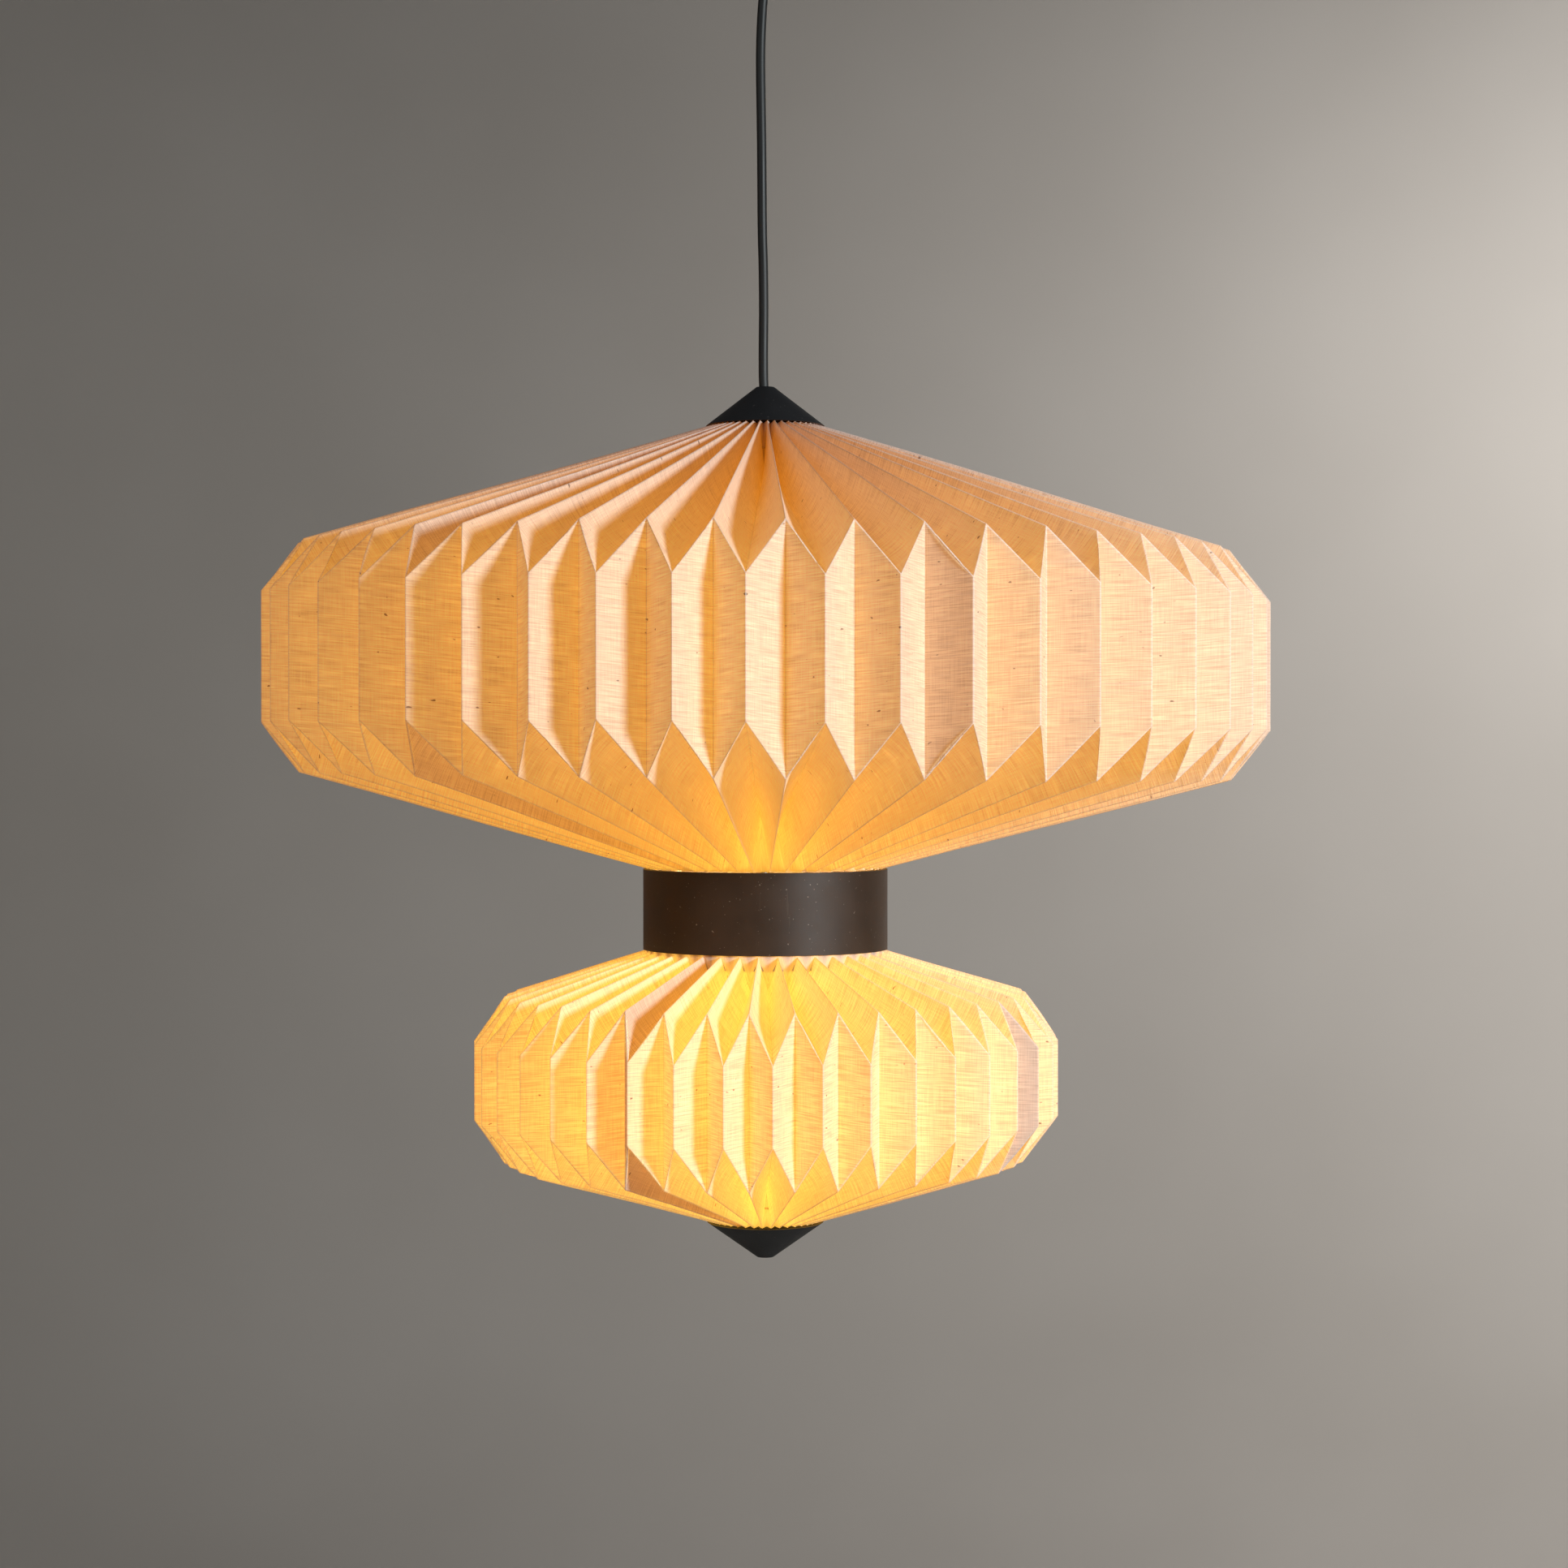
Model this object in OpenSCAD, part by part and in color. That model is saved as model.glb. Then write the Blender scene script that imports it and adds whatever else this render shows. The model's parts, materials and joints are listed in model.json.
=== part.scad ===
// Two-tier pleated pendant lamp: ceiling fitting, cord, cap, big shade, band, small shade, finial.
// Millimetres. The origin is on the ceiling, midway between the two fixing slots; the lamp hangs
// along -Z and its front faces -Y.

/* [Upper shade] */
// Radius over the outer folds
upper_r = 300; // [260:1:320]
// Height of the middle of the shade
upper_mid_z = -465; // [-475:1:-455]
// Number of pleated strips
upper_strips = 6; // [6]
// Pleats in one strip
upper_pleats = 8; // [6:1:9]

/* [Lower shade] */
// Radius over the outer folds
lower_r = 175; // [160:1:185]
// Height of the middle of the shade
lower_mid_z = -712.3; // [-716:0.1:-708]
// Number of pleated strips
lower_strips = 4; // [4]
// Pleats in one strip
lower_pleats = 10; // [8:1:11]

/* [Sheet] */
// Thickness of the linen laminated on card
sheet_t = 0.5; // [0.4:0.05:0.7]

/* [Band and cones] */
// Outer radius of the band
band_r = 73.4; // [73:0.1:75]
// Wall of the band
band_t = 1; // [0.8:0.1:1.2]
// Top edge of the band
band_top_z = -588; // [-588.5:0.1:-588]
// Height of the band
band_h = 48; // [46:0.5:48]
// Rim radius of the top cap
cap_r = 35.5; // [35:0.1:38]
// Rim radius of the bottom cone
cone_r = 35; // [34.5:0.1:38]
// Wall of the cap and the cone
cone_t = 0.9; // [0.6:0.1:0.9]

/* [Cord] */
// Diameter of the round cord
cord_d = 5.7; // [5:0.1:5.8]

/* [Ceiling cup] */
// Outer radius of the cup
cup_r = 50; // [48:1:60]
// Depth of the cup
cup_h = 24; // [22:1:26]
// Distance between the two fixing slots
slot_spacing = 60; // [50:1:60]
// End-to-end length of a slot
slot_length = 12; // [10:1:14]
// Width of a slot
slot_w = 4.5; // [4:0.1:5]

/* [Hidden] */
$fn = 96;
over = 1;              // how far a cutter runs past the face it cuts
gap = 0.3;             // air between pieces that move apart

// Colours
black = [0.03, 0.03, 0.032];
dark_brown = [0.09, 0.075, 0.065];
linen = [0.93, 0.78, 0.55];
linen_warm = [0.95, 0.72, 0.38];
steel = [0.66, 0.67, 0.68];
brass = [0.78, 0.62, 0.3];
porcelain = [0.93, 0.92, 0.89];
cord_r = cord_d / 2;

// Folds of the upper shade, as [radius, height] from the neck down to the waist. In the middle the
// crest lines stand out; past each reversed fold they become the inner lines, and the trough
// lines become the outer ones.
upper_crest_half = 37.6;
upper_trough_half = 67;
upper_trough_r = upper_r - 23;
upper_crest_line = [[24, -350], [upper_r, upper_mid_z + upper_crest_half],
    [upper_r, upper_mid_z - upper_crest_half], [64, -559.5]];
upper_trough_line = [[33, -322.6], [upper_trough_r, upper_mid_z + upper_trough_half],
    [upper_trough_r, upper_mid_z - upper_trough_half], [71.5, -587.2]];
upper_start = -1.29;   // angle of the crest nearest the front
upper_seam = 2.5;      // the strips meet this many pleats on from it

// Folds of the lower shade, the same way
lower_crest_half = 22.5;
lower_trough_half = 49.6;
lower_trough_r = lower_r - 19.3;
lower_crest_line = [[65, -658], [lower_r, lower_mid_z + lower_crest_half],
    [lower_r, lower_mid_z - lower_crest_half], [26, -777.5]];
lower_trough_line = [[71.5, -637], [lower_trough_r, lower_mid_z + lower_trough_half],
    [lower_trough_r, lower_mid_z - lower_trough_half], [32.5, -799.2]];
lower_start = 1.75;
lower_seam = 6.5;
cone_steps = 2;        // facets along each sloping panel
mitre_limit = 0.8;     // furthest that a fold's corner stands off the sheet's middle

// Ceiling fitting
bracket_t = 1.5;
bracket_w = 20;
bracket_x = 46;        // half-length of the strap
tab_h = 14;
cup_t = 1.5;
cup_top_z = -0.4;
side_screw_z = -8;
side_screw_r = 1.95;
side_bore_r = 2;
screw_clear_r = 2.05;
pivot_z = -34;         // the cord bends here, inside the gland's seal
seal_r = 5.2;
seal_h = 4.8;
seal_bore_r = 3.8;
gland_split_z = -33;
gland_mouth_z = -44;
gland_flange_z = -cup_h - 3;
gland_r = 9.4;
gland_spigot_r = 7.6;
neck_r = 5;            // M10 thread
terminal_x = [-10, 0, 10];

// Route of the hanging cord, from the gland down to the cord grip
cord_points = [[0, 0, -34.6], [0, 0, -46], [-0.5, 0, -58], [-1.6, 0, -70], [-2.4, 0, -84],
    [-2.8, 0, -98], [-2.8, 0, -112], [-2.6, 0, -126], [-2.4, 0, -140], [-2.2, 0, -154],
    [-2.1, 0, -168], [-2, 0, -182], [-1.9, 0, -196], [-1.7, 0, -210], [-1.3, 0, -224],
    [-1.1, 0, -238], [-1, 0, -252], [-1.1, 0, -266], [-1.2, 0, -280], [-1.1, 0, -294],
    [-0.5, 0, -305], [0, 0, -316]];
stem_cord_points = [[0, 0, -316.3], [0, 0, -512]];
cord_tail_points = [[0, 0, -33.4], [0, 0, -10]];
live_points = [[-1.4, 0, -10], [-1.4, 0, -8.6], [-5, 2.5, -6], [-9, 4.5, -6.5], [-10, 9, -7]];
neutral_points = [for (p = live_points) [-p[0], p[1], p[2]]];
cord_sides = 12;
lead_r = 1.1;
lead_sides = 8;

// Cap, neck and stem
cap_top_z = -299;
cap_rim_z = -322.2;
cap_flat_r = 5.5;
cap_hole_r = 4.5;
grip_top_z = -307;
grip_bottom_z = -330;
grip_r = 7.2;
grip_taper_h = 6;
grip_screw_z = grip_top_z - 8;
grip_screw_r = 1.5;
stem_top_z = -318;
stem_bottom_z = -512;
stem_bore_r = 3.7;
washer_z = -338.5;
washer_t = 1.5;
washer_r = 26.6;
nut_h = 4;
nut_r = 8.1;
thread_r = 0.6;        // sewing thread that draws the necks of the shades together

// Lampholder and bulb
holder_top_z = -506;
shell_top_z = -524;
shell_bottom_z = -563;
shell_r = 20;
screw_bore_r = 13.18;
bulb_base_r = 13.1;
contact_z = shell_top_z - 12;
spider_z = -548;
spider_t = 1.5;
hub_bore_r = 20.15;
shade_ring_r = 27;
shade_ring_h = 5;
dome_z = -613;
dome_r = 30;

// Bottom of the lamp
cone_top_z = -800.1;
cone_tip_z = -821.4;
cone_tip_r = 5;
stud_r = 2;
stud_bore_r = 2.06;
bottom_washer_z = -775.6;
bottom_nut_h = 3.2;
arm_count = 3;
pad_count = 3;

// A point at radius r and height z, turned a degrees from the front towards +X
function polar(r, a, z) = [r * sin(a), -r * cos(a), z];
function unit(v) = v / norm(v);

// The points of a fold line, with each sloping stretch cut into steps
function stations(line, steps) = concat(
    [for (i = [0 : steps]) line[0] + (line[1] - line[0]) * i / steps],
    [for (i = [0 : steps]) line[2] + (line[3] - line[2]) * i / steps]);

// Outward direction, in the [radius, height] plane, across a fold line at station j
function along(s, j) = unit(s[min(j + 1, len(s) - 1)] - s[max(j - 1, 0)]);
function outward(s, j) = let(d = along(s, j)) [-d[1], d[0]];

// How far the sheet's faces stand off a fold line so that the panels keep their thickness
function mitre(s, other, j, pitch) = let(
    d = along(s, j), o = outward(s, j),
    line_dir = [d[0], 0, d[1]],
    to_other = [other[j][0] * cos(pitch) - s[j][0], other[j][0] * sin(pitch), other[j][1] - s[j][1]],
    n = unit(cross(line_dir, to_other)))
    min(mitre_limit, sheet_t / 2 / max(0.05, abs(n * [o[0], 0, o[1]])));

// One pleated strip, from pleat number first (which may be a half), as a closed thin shell
module pleated_strip(crest, trough, pitch, start, first, pleats) {
    c = stations(crest, cone_steps);
    t = stations(trough, cone_steps);
    rows = len(c);
    lines = 2 * pleats + 1;
    odd = (first != floor(first));
    function is_crest(i) = ((i % 2 == 0) != odd);
    function angle(i) = start + pitch * (first + i / 2);
    function point(i, j, side) = let(
        s = is_crest(i) ? c : t, other = is_crest(i) ? t : c,
        p = s[j] + side * mitre(s, other, j, pitch / 2) * outward(s, j))
        polar(p[0], angle(i), p[1]);
    points = [for (side = [1, -1]) for (i = [0 : lines - 1]) for (j = [0 : rows - 1])
        point(i, j, side)];
    function at(side, i, j) = side * lines * rows + i * rows + j;
    // two triangles for a panel facet, split the same way on the mirrored panels
    function quad(side, i, j) = is_crest(i)
        ? [[at(side, i, j), at(side, i + 1, j), at(side, i + 1, j + 1)],
           [at(side, i, j), at(side, i + 1, j + 1), at(side, i, j + 1)]]
        : [[at(side, i, j), at(side, i + 1, j), at(side, i, j + 1)],
           [at(side, i + 1, j), at(side, i + 1, j + 1), at(side, i, j + 1)]];
    function flip(f) = [f[2], f[1], f[0]];
    outer = [for (i = [0 : lines - 2]) for (j = [0 : rows - 2]) each quad(0, i, j)];
    inner = [for (i = [0 : lines - 2]) for (j = [0 : rows - 2]) each
        [for (f = quad(1, i, j)) flip(f)]];
    top = [for (i = [0 : lines - 2]) each [
        [at(0, i, 0), at(1, i, 0), at(1, i + 1, 0)], [at(0, i, 0), at(1, i + 1, 0), at(0, i + 1, 0)]]];
    last = rows - 1;
    bottom = [for (i = [0 : lines - 2]) each [
        [at(0, i, last), at(1, i + 1, last), at(1, i, last)],
        [at(0, i, last), at(0, i + 1, last), at(1, i + 1, last)]]];
    left = [for (j = [0 : rows - 2]) each [
        [at(0, 0, j), at(1, 0, j + 1), at(1, 0, j)], [at(0, 0, j), at(0, 0, j + 1), at(1, 0, j + 1)]]];
    end = lines - 1;
    right = [for (j = [0 : rows - 2]) each [
        [at(0, end, j), at(1, end, j), at(1, end, j + 1)],
        [at(0, end, j), at(1, end, j + 1), at(0, end, j + 1)]]];
    polyhedron(points, concat(outer, inner, top, bottom, left, right));
}

// A round tube along a list of points; ref is any direction that the route never follows
module tube(route, r, sides, ref) {
    function tangent(i) = unit(route[min(i + 1, len(route) - 1)] - route[max(i - 1, 0)]);
    function ring(i) = let(t = tangent(i), u = unit(cross(t, ref)), v = cross(t, u))
        [for (k = [0 : sides - 1]) route[i] + r * (cos(360 * k / sides) * u + sin(360 * k / sides) * v)];
    rings = len(route);
    points = [for (i = [0 : rings - 1]) each ring(i)];
    walls = [for (i = [0 : rings - 2]) for (k = [0 : sides - 1]) let(n = (k + 1) % sides)
        [i * sides + k, i * sides + n, (i + 1) * sides + n, (i + 1) * sides + k]];
    start = [for (k = [0 : sides - 1]) sides - 1 - k];
    finish = [for (k = [0 : sides - 1]) (rings - 1) * sides + k];
    polyhedron(points, concat(walls, [start, finish]));
}

// A cylinder between two heights
module disc(r, z_low, z_high) {
    translate([0, 0, z_low]) cylinder(r = r, h = z_high - z_low);
}

// A cylinder or cone with a round bore
module ring(r, bore_r, z_low, z_high) {
    difference() {
        disc(r, z_low, z_high);
        disc(bore_r, z_low - over, z_high + over);
    }
}

// A hexagon nut
module hex_nut(r, bore_r, z_low, z_high) {
    difference() {
        translate([0, 0, z_low]) cylinder(r = r, h = z_high - z_low, $fn = 6);
        disc(bore_r, z_low - over, z_high + over);
    }
}

// A thin ring of thread or wire
module hoop(r, wire_r, z) {
    rotate_extrude() translate([r, z]) circle(r = wire_r, $fn = 16);
}

// ---------------------------------------------------------------- ceiling fitting
module slot(x) {
    offset_x = (slot_length - slot_w) / 2;
    translate([x, 0, -bracket_t - over]) {
        depth = bracket_t + 2 * over;
        for (side = [-1, 1]) translate([side * offset_x, 0, 0]) cylinder(d = slot_w, h = depth);
        translate([-offset_x, -slot_w / 2, 0]) cube([2 * offset_x, slot_w, depth]);
    }
}

module ceiling_bracket() {
    tongue = [34, 16, bracket_t];
    color(steel) difference() {
        union() {
            translate([-bracket_x, -bracket_w / 2, -bracket_t]) cube([2 * bracket_x, bracket_w, bracket_t]);
            translate([-tongue[0] / 2, bracket_w / 2 - 2, -bracket_t]) cube(tongue);
            for (side = [-1, 1])
                translate([side * (bracket_x - bracket_t / 2) - bracket_t / 2, -bracket_w / 2, -tab_h])
                    cube([bracket_t, bracket_w, tab_h]);
        }
        for (side = [-1, 1]) {
            slot(side * slot_spacing / 2);
            translate([side * (bracket_x - 2 * bracket_t), 0, side_screw_z])
                rotate([0, side * 90, 0]) cylinder(r = side_bore_r, h = 4 * bracket_t);
        }
    }
}

module ceiling_cup() {
    bottom = -cup_h;
    edge = 2;
    color(black) difference() {
        rotate_extrude() difference() {
            union() {
                translate([0, bottom + edge]) square([cup_r, cup_top_z - bottom - edge]);
                translate([0, bottom]) square([cup_r - edge, edge]);
                translate([cup_r - edge, bottom + edge]) circle(r = edge, $fn = 32);
            }
            translate([-over, bottom + cup_t]) square([cup_r - cup_t + over, cup_h + over]);
            translate([-cup_r, bottom - over]) square([cup_r, cup_h + 3 * over]);
        }
        disc(neck_r + 0.1, bottom - over, bottom + cup_t + over);
        for (side = [-1, 1]) translate([side * (cup_r - 2 * cup_t), 0, side_screw_z])
            rotate([0, side * 90, 0]) cylinder(r = screw_clear_r, h = 4 * cup_t);
    }
}

// Turned-over thumb screw that holds the cup to the bracket
module cup_screw(side) {
    head_x = cup_r + gap;
    head_h = 2.6;
    tip_x = bracket_x - 4;
    color(black) rotate([0, 0, side > 0 ? 0 : 180]) translate([0, 0, side_screw_z])
        rotate([0, 90, 0]) difference() {
            union() {
                translate([0, 0, tip_x]) cylinder(r = side_screw_r, h = head_x - tip_x + over);
                translate([0, 0, head_x]) cylinder(r = 3.6, h = head_h);
            }
            translate([-5, -0.5, head_x + head_h - 1.2]) cube([10, 1, 2]);
        }
}
module cup_screw_left() { cup_screw(-1); }
module cup_screw_right() { cup_screw(1); }

module seal_space() { translate([0, 0, pivot_z]) sphere(r = seal_r + 0.1); }

module gland_body() {
    color(black) difference() {
        union() {
            disc(neck_r - 0.1, -cup_h, -13);
            disc(gland_r, gland_flange_z, -cup_h);
            disc(gland_spigot_r, gland_split_z, gland_flange_z);
        }
        disc(3.3, gland_split_z - over, -12);
        seal_space();
    }
}

module gland_cap() {
    shoulder_z = pivot_z - 4;
    lip_z = pivot_z - 2.75;
    color(black) difference() {
        union() {
            disc(gland_r, shoulder_z, gland_flange_z);
            translate([0, 0, gland_mouth_z])
                cylinder(r1 = gland_r - 1, r2 = gland_r, h = shoulder_z - gland_mouth_z);
        }
        disc(gland_spigot_r + 0.05, gland_split_z, gland_flange_z + over);
        seal_space();
        // flared mouth: the cord leans in it as the lamp swings
        translate([0, 0, gland_mouth_z - over])
            cylinder(r1 = 7.8, r2 = 4.54, h = lip_z - gland_mouth_z + over);
    }
}

module gland_nut() {
    color(brass) hex_nut(nut_r, neck_r, -cup_h + cup_t, -cup_h + cup_t + nut_h);
}

module gland_seal() {
    color(black) difference() {
        intersection() {
            translate([0, 0, pivot_z]) sphere(r = seal_r);
            disc(2 * seal_r, pivot_z - seal_h / 2, pivot_z + seal_h / 2);
        }
        disc(seal_bore_r, pivot_z - seal_h, pivot_z + seal_h);
    }
}

module terminal_block() {
    block = [30, 14, 11.1];
    wire_z = 5.6;
    color(porcelain) translate([0, 9, -12.6]) difference() {
        translate([-block[0] / 2, 0, 0]) cube(block);
        for (x = terminal_x) {
            translate([x, -over, wire_z]) rotate([-90, 0, 0]) cylinder(r = 2, h = block[1] + 2 * over);
            translate([x, block[1] / 2, -over]) cylinder(r = 1.6, h = wire_z + over);
        }
    }
}

module terminal_screws() {
    color(steel) for (x = terminal_x) translate([x, 16, -12]) difference() {
        cylinder(r = 1.5, h = 4.2);
        translate([-2, -0.25, -over]) cube([4, 0.5, over + 0.6]);
    }
}

module live_lead() { color("sienna") tube(live_points, lead_r, lead_sides, [0, 1, 0.3]); }
module neutral_lead() { color("steelblue") tube(neutral_points, lead_r, lead_sides, [0, 1, 0.3]); }
module cord_tail() { color(black) tube(cord_tail_points, cord_r, cord_sides, [0, 1, 0]); }

// ---------------------------------------------------------------- cord, cap and stem
module cord() { color(black) tube(cord_points, cord_r, cord_sides, [0, 1, 0]); }
module stem_cord() { color(black) tube(stem_cord_points, cord_r, cord_sides, [0, 1, 0]); }

module top_cap() {
    wall = cone_t / cos(atan2(cap_top_z - cap_rim_z, cap_r - cap_flat_r));
    h = cap_top_z - cap_rim_z;
    color(black) rotate_extrude() difference() {
        polygon([[0, cap_top_z], [cap_flat_r, cap_top_z], [cap_r, cap_rim_z], [0, cap_rim_z]]);
        translate([0, -wall]) polygon([[0, cap_top_z], [cap_flat_r, cap_top_z],
            [cap_r + wall, cap_rim_z - wall * h / (cap_r - cap_flat_r)], [0, cap_rim_z - 3 * wall]]);
        translate([0, cap_top_z - 3]) square([cap_hole_r, 3 + over]);
    }
}

module cord_grip() {
    color(black) difference() {
        union() {
            disc(grip_r, grip_bottom_z, grip_top_z - grip_taper_h);
            translate([0, 0, grip_top_z - grip_taper_h]) cylinder(r1 = grip_r, r2 = 5.6, h = grip_taper_h);
        }
        disc(cord_r + 0.25, grip_bottom_z - over, grip_top_z + over);
        disc(neck_r, grip_bottom_z - over, stem_top_z);
        // the cord leans a little as it enters
        translate([0, 0, grip_top_z - 4]) cylinder(r1 = cord_r + 0.25, r2 = cord_r + 1.4, h = 4 + over);
        translate([cord_r, 0, grip_screw_z]) rotate([0, 90, 0]) cylinder(r = grip_screw_r, h = 10);
    }
}

module cord_grip_screw() {
    color(steel) translate([cord_r + 0.1, 0, grip_screw_z]) rotate([0, 90, 0]) difference() {
        cylinder(r = grip_screw_r, h = 5.4);
        translate([-2, -0.3, 4.6]) cube([4, 0.6, 2]);
    }
}

module stem_tube() { color(steel) ring(neck_r, stem_bore_r, stem_bottom_z, stem_top_z); }
module stem_nut_upper() {
    low = washer_z + washer_t;
    color(steel) hex_nut(nut_r, neck_r, low, low + nut_h);
}
module stem_nut_lower() { color(steel) hex_nut(nut_r, neck_r, washer_z - nut_h, washer_z); }
module neck_washer() { color(steel) ring(washer_r, neck_r, washer_z, washer_z + washer_t); }

// ---------------------------------------------------------------- upper shade
module upper_strip(number) {
    pitch = 360 / (upper_strips * upper_pleats);
    color(linen) pleated_strip(upper_crest_line, upper_trough_line, pitch, upper_start,
        upper_seam + (number - 1) * upper_pleats, upper_pleats);
}
module upper_strip_1() { upper_strip(1); }
module upper_strip_2() { upper_strip(2); }
module upper_strip_3() { upper_strip(3); }
module upper_strip_4() { upper_strip(4); }
module upper_strip_5() { upper_strip(5); }
module upper_strip_6() { upper_strip(6); }
module upper_thread() { color(linen) hoop(31, thread_r, -338); }

// ---------------------------------------------------------------- band and what it hangs on
band_bottom_z = band_top_z - band_h;
flange_t = 1.2;
flange_r = 66;
foot_z = band_top_z - flange_t - spider_t;
arm_start = 30;        // turn of the first arm from +X

module band() {
    color(dark_brown) union() {
        ring(band_r, band_r - band_t, band_bottom_z, band_top_z);
        ring(band_r - band_t / 2, flange_r, band_top_z - flange_t, band_top_z);
    }
}

// Hub clamped on the lampholder, three sloping arms and a foot on each under the band's flange
module band_spider() {
    arm_w = 10;
    hub_r = 29;
    arm_in = hub_r - 2;
    arm_out = 63;
    rise = spider_z - foot_z - spider_t;
    run = arm_out - arm_in;
    color(steel) difference() {
        union() {
            disc(hub_r, spider_z - spider_t, spider_z);
            for (k = [0 : arm_count - 1]) rotate([0, 0, arm_start + 360 / arm_count * k]) {
                translate([arm_in, -arm_w / 2, spider_z - spider_t]) rotate([0, atan2(rise, run), 0])
                    cube([norm([run, rise]), arm_w, spider_t]);
                translate([arm_out - 2, -arm_w / 2, foot_z]) cube([10, arm_w, spider_t]);
            }
        }
        disc(hub_bore_r, spider_z - 4 * spider_t, spider_z + over);
    }
}

module spider_rivets() {
    rivet_r = 1.9;
    color(steel) for (k = [0 : arm_count - 1]) rotate([0, 0, arm_start + 360 / arm_count * k])
        translate([68.5, 0, 0]) {
            disc(rivet_r, foot_z - 1, foot_z);
            disc(rivet_r, band_top_z, band_top_z + 0.6);
        }
}

// Rubber pads that grip the lower shade's hoop
module band_pads() {
    pad_t = 1.3;
    color(black) for (k = [0 : pad_count - 1]) intersection() {
        ring(band_r - band_t, band_r - band_t - pad_t, band_bottom_z + 6, band_bottom_z + 16);
        rotate([0, 0, 90 + 360 / pad_count * k]) translate([0, -6, band_bottom_z]) cube([80, 12, band_h]);
    }
}

// ---------------------------------------------------------------- lampholder
module holder_cap() {
    color(black) difference() {
        union() {
            disc(7.5, holder_top_z - 6, holder_top_z);
            translate([0, 0, shell_top_z]) cylinder(r1 = shell_r, r2 = 9, h = holder_top_z - 6 - shell_top_z);
        }
        disc(neck_r, stem_bottom_z, holder_top_z + over);
        translate([0, 0, shell_top_z - over])
            cylinder(r1 = shell_r - 2, r2 = 6.5, h = stem_bottom_z - shell_top_z + over);
    }
}

module holder_shell() {
    color(black) ring(shell_r, shell_r - 2, shell_bottom_z, shell_top_z);
}

module holder_insert() {
    color(porcelain) difference() {
        disc(shell_r - 2, contact_z, shell_top_z - 3);
        for (side = [-1, 1]) translate([side * 9, 0, 0]) disc(1.6, contact_z - over, shell_top_z);
    }
}

module screw_shell() {
    color(brass) ring(screw_bore_r + 0.6, screw_bore_r, shell_bottom_z + 2, contact_z);
}

module centre_contact() {
    color(brass) disc(3, contact_z - 1, contact_z);
}

module side_contact() {
    color(brass) translate([8.5, -2, contact_z - 0.8]) cube([3.5, 4, 0.8]);
}

module shade_ring_upper() {
    color(black) ring(shade_ring_r, shell_r, spider_z, spider_z + shade_ring_h);
}

module shade_ring_lower() {
    color(black) ring(shade_ring_r, shell_r, spider_z - spider_t - shade_ring_h, spider_z - spider_t);
}

// ---------------------------------------------------------------- bulb
bulb_top_z = contact_z - 2;
bulb_base_bottom_z = shell_bottom_z - 1;

module bulb_base() { color(steel) ring(bulb_base_r, 12.3, bulb_base_bottom_z, bulb_top_z - 2.5); }
module bulb_insulator() {
    color(black) translate([0, 0, bulb_top_z - 2.5]) difference() {
        cylinder(r1 = 12.3, r2 = 5, h = 2.2);
        translate([0, 0, -over]) cylinder(r = 3.5, h = 3 * over + 1);
    }
}
module bulb_contact() { color(brass) disc(3.5, bulb_top_z - 2.5, bulb_top_z - gap + 0.2); }

// Plastic body of the bulb, from the base out to the dome
module bulb_collar() {
    color(porcelain) rotate_extrude() polygon([[0, bulb_base_bottom_z - 0.2],
        [14, bulb_base_bottom_z - 0.2], [15.5, bulb_base_bottom_z - 6], [21, dome_z + 27],
        [27.5, dome_z + 12], [25.5, dome_z + 12], [0, dome_z + 20]]);
}

module bulb_dome() {
    color("white") difference() {
        translate([0, 0, dome_z]) sphere(r = dome_r);
        translate([0, 0, dome_z]) sphere(r = dome_r - 1.2);
        disc(40, dome_z + 12, dome_z + 40);
    }
}

// ---------------------------------------------------------------- lower shade
module lower_strip(number) {
    pitch = 360 / (lower_strips * lower_pleats);
    color(linen_warm) pleated_strip(lower_crest_line, lower_trough_line, pitch, lower_start,
        lower_seam + (number - 1) * lower_pleats, lower_pleats);
}
module lower_strip_1() { lower_strip(1); }
module lower_strip_2() { lower_strip(2); }
module lower_strip_3() { lower_strip(3); }
module lower_strip_4() { lower_strip(4); }
module lower_thread() { color(linen) hoop(30.5, thread_r, -788); }

// Collar that pushes up into the band; the pleats are glued to its lower edge
module lower_hoop() {
    collar_r = band_r - band_t - 1.8;
    color(steel) ring(collar_r, collar_r - 1, band_bottom_z - 9, band_bottom_z + 22);
}

module bottom_washer() { color(steel) ring(29, stud_r, bottom_washer_z, bottom_washer_z + washer_t); }
module bottom_nut() {
    low = bottom_washer_z + washer_t;
    color(steel) hex_nut(4, stud_r, low, low + bottom_nut_h);
}
module bottom_stud() { color(steel) disc(stud_r, -814, -769); }

module bottom_cone() {
    slope = (cone_top_z - cone_tip_z) / (cone_r - cone_tip_r);
    wall = cone_t / cos(atan(slope));
    floor_z = cone_tip_z + 2;
    color(black) difference() {
        union() {
            rotate_extrude() difference() {
                polygon([[0, cone_top_z], [cone_r, cone_top_z], [cone_tip_r, cone_tip_z], [0, cone_tip_z]]);
                polygon([[0, cone_top_z + over], [cone_r, cone_top_z + over],
                    [cone_r, cone_top_z + wall],
                    [cone_tip_r + (floor_z - cone_tip_z - wall) / slope, floor_z], [0, floor_z]]);
            }
            disc(4.6, cone_tip_z + 1, cone_top_z - 4);
        }
        disc(stud_bore_r, cone_tip_z + 3, cone_top_z + over);
    }
}

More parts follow.
